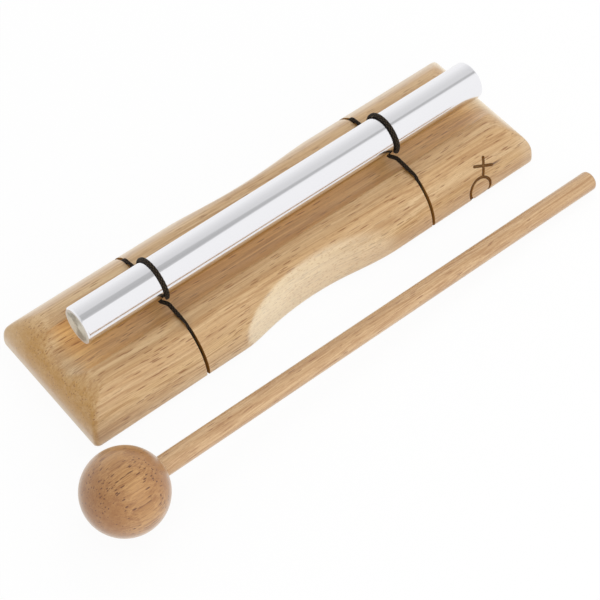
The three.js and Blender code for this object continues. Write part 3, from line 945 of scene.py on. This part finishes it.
class Graph:
    """Short calls for building the nodes of a material or of the world.

    Places and sizes are in millimetres. A size is a pattern's length along each axis.
    """

    def __init__(self, owner):
        owner.use_nodes = True
        self.owner = owner
        self.nodes = owner.node_tree.nodes
        self.links = owner.node_tree.links
        self.shader = self.nodes.get("Principled BSDF") or self.nodes["Background"]

    def put(self, socket, value):
        if isinstance(value, bpy.types.NodeSocket):
            self.links.new(value, socket)
        else:
            socket.default_value = value

    def set(self, values):
        for name, value in values.items():
            self.put(self.shader.inputs[name], value)

    def math(self, operation, a, b=0.0):
        node = self.nodes.new("ShaderNodeMath")
        node.operation = operation
        self.put(node.inputs[0], a)
        self.put(node.inputs[1], b)
        return node.outputs[0]

    def vector(self, operation, a, b):
        node = self.nodes.new("ShaderNodeVectorMath")
        node.operation = operation
        self.put(node.inputs[0], a)
        self.put(node.inputs[1], b)
        return node.outputs[0]

    def mix(self, share, a, b, blend="MIX"):
        node = self.nodes.new("ShaderNodeMix")
        node.data_type = "RGBA"
        node.blend_type = blend
        self.put(node.inputs[0], share)
        self.put(node.inputs[6], a)
        self.put(node.inputs[7], b)
        return node.outputs[2]

    def span(self, value, low, high, to_low=0.0, to_high=1.0):
        """Smooth step from one level to another as the value goes from low to high."""
        node = self.nodes.new("ShaderNodeMapRange")
        node.interpolation_type = "SMOOTHSTEP"
        for socket, number in zip(node.inputs, (value, low, high, to_low, to_high)):
            self.put(socket, number)
        return node.outputs[0]

    def noise(self, place, size, detail=2.0, roughness=0.6, seed=0.0):
        node = self.nodes.new("ShaderNodeTexNoise")
        moved = self.vector("ADD", place, (seed, seed * 1.7, seed * 0.6))
        self.put(node.inputs["Vector"], self.vector("DIVIDE", moved, size))
        node.inputs["Scale"].default_value = 1
        node.inputs["Detail"].default_value = detail
        node.inputs["Roughness"].default_value = roughness
        return node.outputs["Fac"]

    def cells(self, place, size, seed):
        """Distance from the middle of each place's cell, and the cell's own random colour."""
        node = self.nodes.new("ShaderNodeTexVoronoi")
        moved = self.vector("ADD", place, (seed, seed * 1.3, seed * 2.1))
        self.put(node.inputs["Vector"], self.vector("DIVIDE", moved, size))
        node.inputs["Scale"].default_value = 1
        return node.outputs["Distance"], node.outputs["Color"]

    def place(self):
        coordinates = self.nodes.new("ShaderNodeTexCoord").outputs["Object"]
        return self.vector("MULTIPLY", coordinates, (1 / MM, 1 / MM, 1 / MM))

    def split(self, vector):
        node = self.nodes.new("ShaderNodeSeparateXYZ")
        self.put(node.inputs[0], vector)
        return node.outputs

    def join(self, x=0.0, y=0.0, z=0.0):
        node = self.nodes.new("ShaderNodeCombineXYZ")
        for socket, value in zip(node.inputs, (x, y, z)):
            self.put(socket, value)
        return node.outputs[0]

    def turn(self, vector, angle):
        """Vector turned about Z."""
        node = self.nodes.new("ShaderNodeVectorRotate")
        node.inputs["Axis"].default_value = (0, 0, 1)
        node.inputs["Angle"].default_value = angle
        self.put(node.inputs["Vector"], vector)
        return node.outputs[0]

    def attribute(self, name):
        node = self.nodes.new("ShaderNodeAttribute")
        node.attribute_name = name
        return node.outputs["Fac"]

    def bump(self, height, strength, depth):
        node = self.nodes.new("ShaderNodeBump")
        node.inputs["Strength"].default_value = strength
        node.inputs["Distance"].default_value = depth * MM
        self.put(node.inputs["Height"], height)
        self.links.new(node.outputs[0], self.shader.inputs["Normal"])


def material_graph(name):
    return Graph(bpy.data.materials.new(name))


def warped(graph, place, seed):
    """Place with the grain's slow waver across X added."""
    size, amount = (75, 24, 24), 5.0
    drifts = []
    for offset in (0, 31):
        drift = graph.noise(place, size, detail=1.0, roughness=0.5, seed=seed + offset)
        drifts.append(graph.math("MULTIPLY", graph.math("SUBTRACT", drift, 0.5), amount))
    return graph.vector("ADD", place, graph.join(y=drifts[0], z=drifts[1]))


def wood(name, tones, seed, streak, vessel, vessel_share, lean=0.0, pore_depth=0.8, line_depth=0.45):
    """Open-pored wood with its grain along X: streaks, growth bands, fibres, vessel lines and flecks."""
    graph = material_graph(name)
    light, mid, dark, end, pore = (linear(*tone) for tone in tones)
    place = graph.turn(warped(graph, graph.place(), seed), lean)

    streaks = graph.noise(place, (230, streak, streak), detail=5.0, roughness=0.65, seed=seed + 3)
    colour = graph.mix(graph.span(streaks, 0.38, 0.62), light, mid)
    bands = graph.noise(place, (120, streak / 3, streak / 3), detail=4.0, roughness=0.65, seed=seed + 11)
    colour = graph.mix(graph.span(bands, 0.47, 0.68, to_high=0.5), colour, dark)
    hairs = graph.noise(place, (55, 0.9, 0.9), detail=3.0, roughness=0.65, seed=seed + 41)
    colour = graph.mix(graph.span(hairs, 0.46, 0.66, to_high=0.75), colour, dark)
    fibres = graph.noise(place, (26, 0.42, 0.42), seed=seed + 19)
    colour = graph.mix(graph.span(fibres, 0.4, 0.7, to_high=0.45), colour, dark)

    normal = graph.nodes.new("ShaderNodeTexCoord").outputs["Normal"]
    ends = graph.span(graph.math("ABSOLUTE", graph.split(normal)[0]), 0.1, 0.9)
    patches = graph.noise(place, (8, 3.2, 1.6), seed=seed + 61)
    patches = graph.span(patches, 0.3, 0.7, to_low=0.6, to_high=0.9)
    colour = graph.mix(graph.math("MULTIPLY", ends, patches), colour, end)

    fray = graph.noise(place, (1.6, 0.35, 0.35), detail=1.0, roughness=0.5, seed=seed + 53)
    fray = graph.math("MULTIPLY", graph.math("SUBTRACT", fray, 0.5), 0.16)
    distance, chance = graph.cells(place, vessel, seed + 23)
    spots = graph.span(graph.math("ADD", distance, fray), 0.15, 0.28, to_low=1.0, to_high=0.0)
    crowd = graph.noise(place, (52, 6, 6), seed=seed + 29)
    wanted = graph.span(crowd, 0.36, 0.64, to_low=vessel_share * 0.35, to_high=vessel_share * 1.65)
    vessels = graph.math("MULTIPLY", spots, graph.math("LESS_THAN", graph.split(chance)[0], wanted))
    colour = graph.mix(graph.math("MULTIPLY", vessels, pore_depth), colour, pore)

    lines, _ = graph.cells(place, (24.0, 1.3, 1.3), seed + 47)
    colour = graph.mix(graph.span(lines, 0.08, 0.2, to_low=line_depth, to_high=0.0), colour, pore)
    flecks, _ = graph.cells(place, (2.6, 0.42, 0.42), seed + 37)
    colour = graph.mix(graph.span(flecks, 0.12, 0.34, to_low=0.3, to_high=0.0), colour, pore)
    height = graph.math("SUBTRACT", graph.math("MULTIPLY", fibres, 0.4), vessels)
    graph.bump(height, strength=0.2, depth=0.1)
    return graph, colour


def lacquer(graph, colour, roughness, sheen):
    """Satin finish that turns pale at a grazing angle."""
    facing = graph.nodes.new("ShaderNodeLayerWeight")
    facing.inputs["Blend"].default_value = 0.5
    graph.set({
        "Base Color": colour,
        "Roughness": roughness,
        "Coat Weight": 0.8,
        "Coat Roughness": 0.3,
        "Coat IOR": graph.span(facing.outputs["Facing"], 0.62, 0.95, to_low=1.5, to_high=3.0),
        "Sheen Weight": sheen,
        "Sheen Roughness": 0.28,
        "Sheen Tint": SHEEN_TINT,
    })
    return graph.owner


def block_wood(name, lacquered):
    graph, colour = wood(
        name,
        BLOCK_TONES,
        seed=4.0,
        streak=7.0,
        vessel=(10.0, 1.0, 1.0),
        vessel_share=0.85,
        lean=0.03,
    )
    # Painted warm bounce light in the cove
    colour = graph.mix(graph.attribute("cove"), colour, COVE_BOUNCE_TINT, "MULTIPLY")
    # Painted highlight in the scallops, with grain specks kept in it
    scallop_highlight = graph.attribute("scallop_highlight")
    colour = graph.mix(graph.math("MULTIPLY", scallop_highlight, 0.58), colour, linear(*SCOOP_HIGHLIGHT))
    specks, _ = graph.cells(graph.place(), (1.8, 0.7, 0.7), 71.0)
    specks = graph.span(specks, 0.1, 0.42, to_low=1.0, to_high=0.0)
    speckled = graph.math("MULTIPLY", scallop_highlight, graph.math("SUBTRACT", 1.3, scallop_highlight))
    colour = graph.mix(graph.math("MULTIPLY", specks, speckled), colour, linear(*SCOOP_SPECK))
    # Painted highlight along the foot, on the right end and on the far side
    painted_highlight = graph.math("MULTIPLY", graph.attribute("painted_highlight"), 0.5)
    colour = graph.mix(painted_highlight, colour, linear(*HIGHLIGHT_PALE))
    kerf = graph.math("MULTIPLY", graph.attribute("kerf"), 0.85)
    colour = graph.mix(kerf, colour, linear(*KERF_BARE))
    char = graph.noise(graph.place(), (0.8, 0.8, 0.8), seed=9.0)
    burnt = graph.mix(char, linear(*BURNT_LIGHT), linear(*BURNT_DARK))
    colour = graph.mix(graph.attribute("burn"), colour, burnt)
    if lacquered:
        return lacquer(graph, colour, roughness=0.42, sheen=0.5)
    graph.set({"Base Color": colour, "Roughness": 0.6, "Specular IOR Level": 0})
    return graph.owner


def ball_wood():
    graph, colour = wood(
        "ball_wood",
        BALL_TONES,
        seed=57.0,
        streak=5.0,
        vessel=(11.0, 1.15, 1.15),
        vessel_share=0.8,
        pore_depth=0.9,
        line_depth=0.85,
    )
    return lacquer(graph, colour, roughness=0.42, sheen=0.45)


def stick_wood():
    graph, colour = wood(
        "stick_wood",
        STICK_TONES,
        seed=88.0,
        streak=2.6,
        vessel=(10.0, 0.8, 0.8),
        vessel_share=0.35,
    )
    return lacquer(graph, colour, roughness=0.5, sheen=0.4)


def bar_metal():
    graph = material_graph("bar_metal")
    lines = graph.noise(graph.place(), (60, 0.16, 0.16), roughness=0.5, seed=5.0)
    roughness = graph.span(lines, 0.2, 0.8, to_low=0.1, to_high=0.17)
    graph.set({"Base Color": METAL, "Metallic": 1.0, "Roughness": roughness})
    graph.bump(lines, strength=0.05, depth=0.02)
    return graph.owner


def bar_end():
    """Faced end: fine rings from the lathe, with painted reflection: light and dark sectors painted into its
    colour, and a painted highlight near the rim.
    """
    graph = material_graph("bar_end")
    _, y, z = graph.split(graph.place())
    z = graph.math("SUBTRACT", z, ROD_HEIGHT)
    radius = graph.math("SQRT", graph.math("ADD", graph.math("MULTIPLY", y, y), graph.math("MULTIPLY", z, z)))
    rings = graph.noise(graph.join(x=radius), (0.4, 1, 1), detail=3.0, roughness=0.65, seed=2.0)
    blotch = graph.noise(graph.place(), (2.2, 2.2, 2.2), seed=14.0)
    # Painted reflection: light and dark sectors round the axis
    fan = graph.math("MULTIPLY", graph.math("ARCTAN2", z, y), 2.0)
    fan = graph.math("SINE", graph.math("ADD", fan, 2.4))
    fan = graph.math("ADD", graph.math("MULTIPLY", fan, 0.3), blotch)
    tone = graph.math("ADD", graph.math("MULTIPLY", rings, 0.6), fan)
    colour = graph.mix(graph.span(tone, 0.45, 1.15), LATHE_REFLECTION_DARK, LATHE_REFLECTION_LIGHT)
    # Painted highlight: a paler ring near the rim
    rim = graph.span(radius, ROD_RADIUS - 2.2, ROD_RADIUS - 1.2, to_high=0.7)
    colour = graph.mix(rim, colour, RIM_HIGHLIGHT)
    graph.set({"Base Color": colour, "Metallic": 0.4, "Roughness": 0.3})
    graph.bump(rings, strength=0.4, depth=0.06)
    return graph.owner


def cord_fabric():
    graph = material_graph("cord_fabric")
    braid = graph.span(graph.attribute("braid"), 0.6, 1.0)
    fuzz = graph.noise(graph.place(), (0.22, 0.22, 0.22), seed=3.0)
    # Painted shade: darker where the braid's relief is low, on the black cord's own colour
    colour = graph.mix(braid, linear(*BRAID_GAP_SHADE), linear(*BRAID_RIDGE))
    colour = graph.mix(graph.span(fuzz, 0.5, 0.8, to_high=0.35), colour, linear(*BRAID_FUZZ))
    graph.set({
        "Base Color": colour,
        "Roughness": 0.7,
        "Specular IOR Level": 0.12,
        "Sheen Weight": 0.08,
        "Sheen Roughness": 0.4,
    })
    graph.bump(fuzz, strength=0.3, depth=0.05)
    return graph.owner


# Stage: a white table that keeps a faint shadow, a white surround and soft studio light
def table_top():
    graph = material_graph("table_white")
    graph.set({"Base Color": TABLE_WHITE, "Roughness": 0.8})
    paths = graph.nodes.new("ShaderNodeLightPath").outputs
    seen = graph.math("MAXIMUM", paths["Is Camera Ray"], paths["Is Glossy Ray"])
    seen = graph.math("MAXIMUM", seen, paths["Is Transmission Ray"])
    glow = graph.nodes.new("ShaderNodeEmission")
    glow.inputs["Strength"].default_value = 1.0
    blend = graph.nodes.new("ShaderNodeMixShader")
    graph.put(blend.inputs[0], graph.math("MULTIPLY", seen, TABLE_GLOW))
    graph.links.new(graph.shader.outputs[0], blend.inputs[1])
    graph.links.new(glow.outputs[0], blend.inputs[2])
    graph.links.new(blend.outputs[0], graph.nodes["Material Output"].inputs["Surface"])
    plan = ((-1, -1), (1, -1), (1, 1), (-1, 1))
    corners = [(x * TABLE_HALF, y * TABLE_HALF, -TABLE_DROP) for x, y in plan]
    table = mesh_object("table", corners, [(0, 1, 2, 3)])
    table.data.materials.append(graph.owner)


def surround():
    """White world, which the bar reflects greyer from the far horizon to the top, with a darker band."""
    world = bpy.data.worlds.new("surround")
    bpy.context.scene.world = world
    graph = Graph(world)
    x, y, z = graph.split(graph.nodes.new("ShaderNodeTexCoord").outputs["Generated"])
    lean = graph.math("ARCTAN2", graph.math("MULTIPLY", y, -1.0), z)
    lean = graph.math("MULTIPLY", lean, 180 / math.pi)
    fall = graph.span(lean, *FALL_LEANS, to_low=1.0, to_high=FALL_LEVEL)
    rise = graph.span(lean, *RISE_LEANS)
    level = graph.math("MULTIPLY", fall, graph.math("SUBTRACT", 1.0, rise))
    level = graph.math("MAXIMUM", level, rise)
    half = graph.span(graph.math("ABSOLUTE", x), *BAND_ENDS, *BAND_HALVES)
    off = graph.math("ABSOLUTE", graph.math("SUBTRACT", lean, BAND_LEAN))
    edge = graph.math("SUBTRACT", off, half)
    band = graph.span(edge, -BAND_SOFTNESS, BAND_SOFTNESS, to_low=BAND_LEVEL)
    paths = graph.nodes.new("ShaderNodeLightPath").outputs
    seen, glossy = paths["Is Camera Ray"], paths["Is Glossy Ray"]
    diffuse = graph.math("SUBTRACT", graph.math("SUBTRACT", 1.0, seen), glossy)
    diffuse = graph.math("MULTIPLY", graph.math("MAXIMUM", diffuse, 0.0), DIFFUSE_LEVEL)
    glossy = graph.math("MULTIPLY", glossy, graph.math("MINIMUM", level, band))
    strength = graph.math("ADD", graph.math("ADD", seen, glossy), diffuse)
    graph.set({"Color": WHITE, "Strength": strength})


def soft_light(name, place, size, share):
    """Square lamp whose light on a white surface facing it is this share of white."""
    reach = Vector(LAMP_TARGET) - Vector(place)
    data = bpy.data.lights.new(name, "AREA")
    data.shape = "SQUARE"
    data.size = size * MM
    data.energy = share * math.pi**2 * (reach.length * MM) ** 2
    obj = bpy.data.objects.new(name, data)
    obj.location = Vector(place) * MM
    obj.rotation_mode = "QUATERNION"
    obj.rotation_quaternion = reach.to_track_quat("-Z", "Y")
    obj.visible_glossy = False
    bpy.context.scene.collection.objects.link(obj)


# Dressing the frame
def dress(obj, body, nodes, slot, *materials):
    for material in materials:
        obj.data.materials.append(material)
    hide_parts(*nodes)
    if body:
        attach(obj, body)
    return obj


def build():
    camera()
    table_top()
    surround()
    soft_light("key", place=(420, 200, 560), size=420, share=0.19)
    soft_light("front", place=(-60, -620, 330), size=420, share=0.26)

    woods = (block_wood("block_wood", True), block_wood("bare_wood", False))
    dress(wooden_block(), "base", ["wooden_block"], "block_wood", *woods)

    rod = dress(chime_rod(), "bar", ["chime_rod"], "bar_metal", bar_metal(), bar_end())
    for face in rod.data.polygons:
        if abs(face.normal.x) > 0.9:
            face.material_index = 1

    fabric = cord_fabric()
    for side in CORD_PLACES:
        near, loop, far, lump = elastic_cord(side)
        node = [f"{side}_cord"]
        dress(loop, "suspension", node, "cord_elastic", fabric)
        dress(lump, "base", node, "cord_elastic", fabric)
        for strand, direction in ((near, -1), (far, 1)):
            dress(strand, None, node, "cord_elastic", fabric)
            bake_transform(strand)

    dress(mallet_ball(), "mallet", ["mallet_ball"], "ball_wood", ball_wood())
    dress(mallet_stick(), "mallet", ["mallet_stick"], "stick_wood", stick_wood())


build()
bpy.context.scene.view_settings.view_transform = "Standard"

bpy.context.view_layer.update()
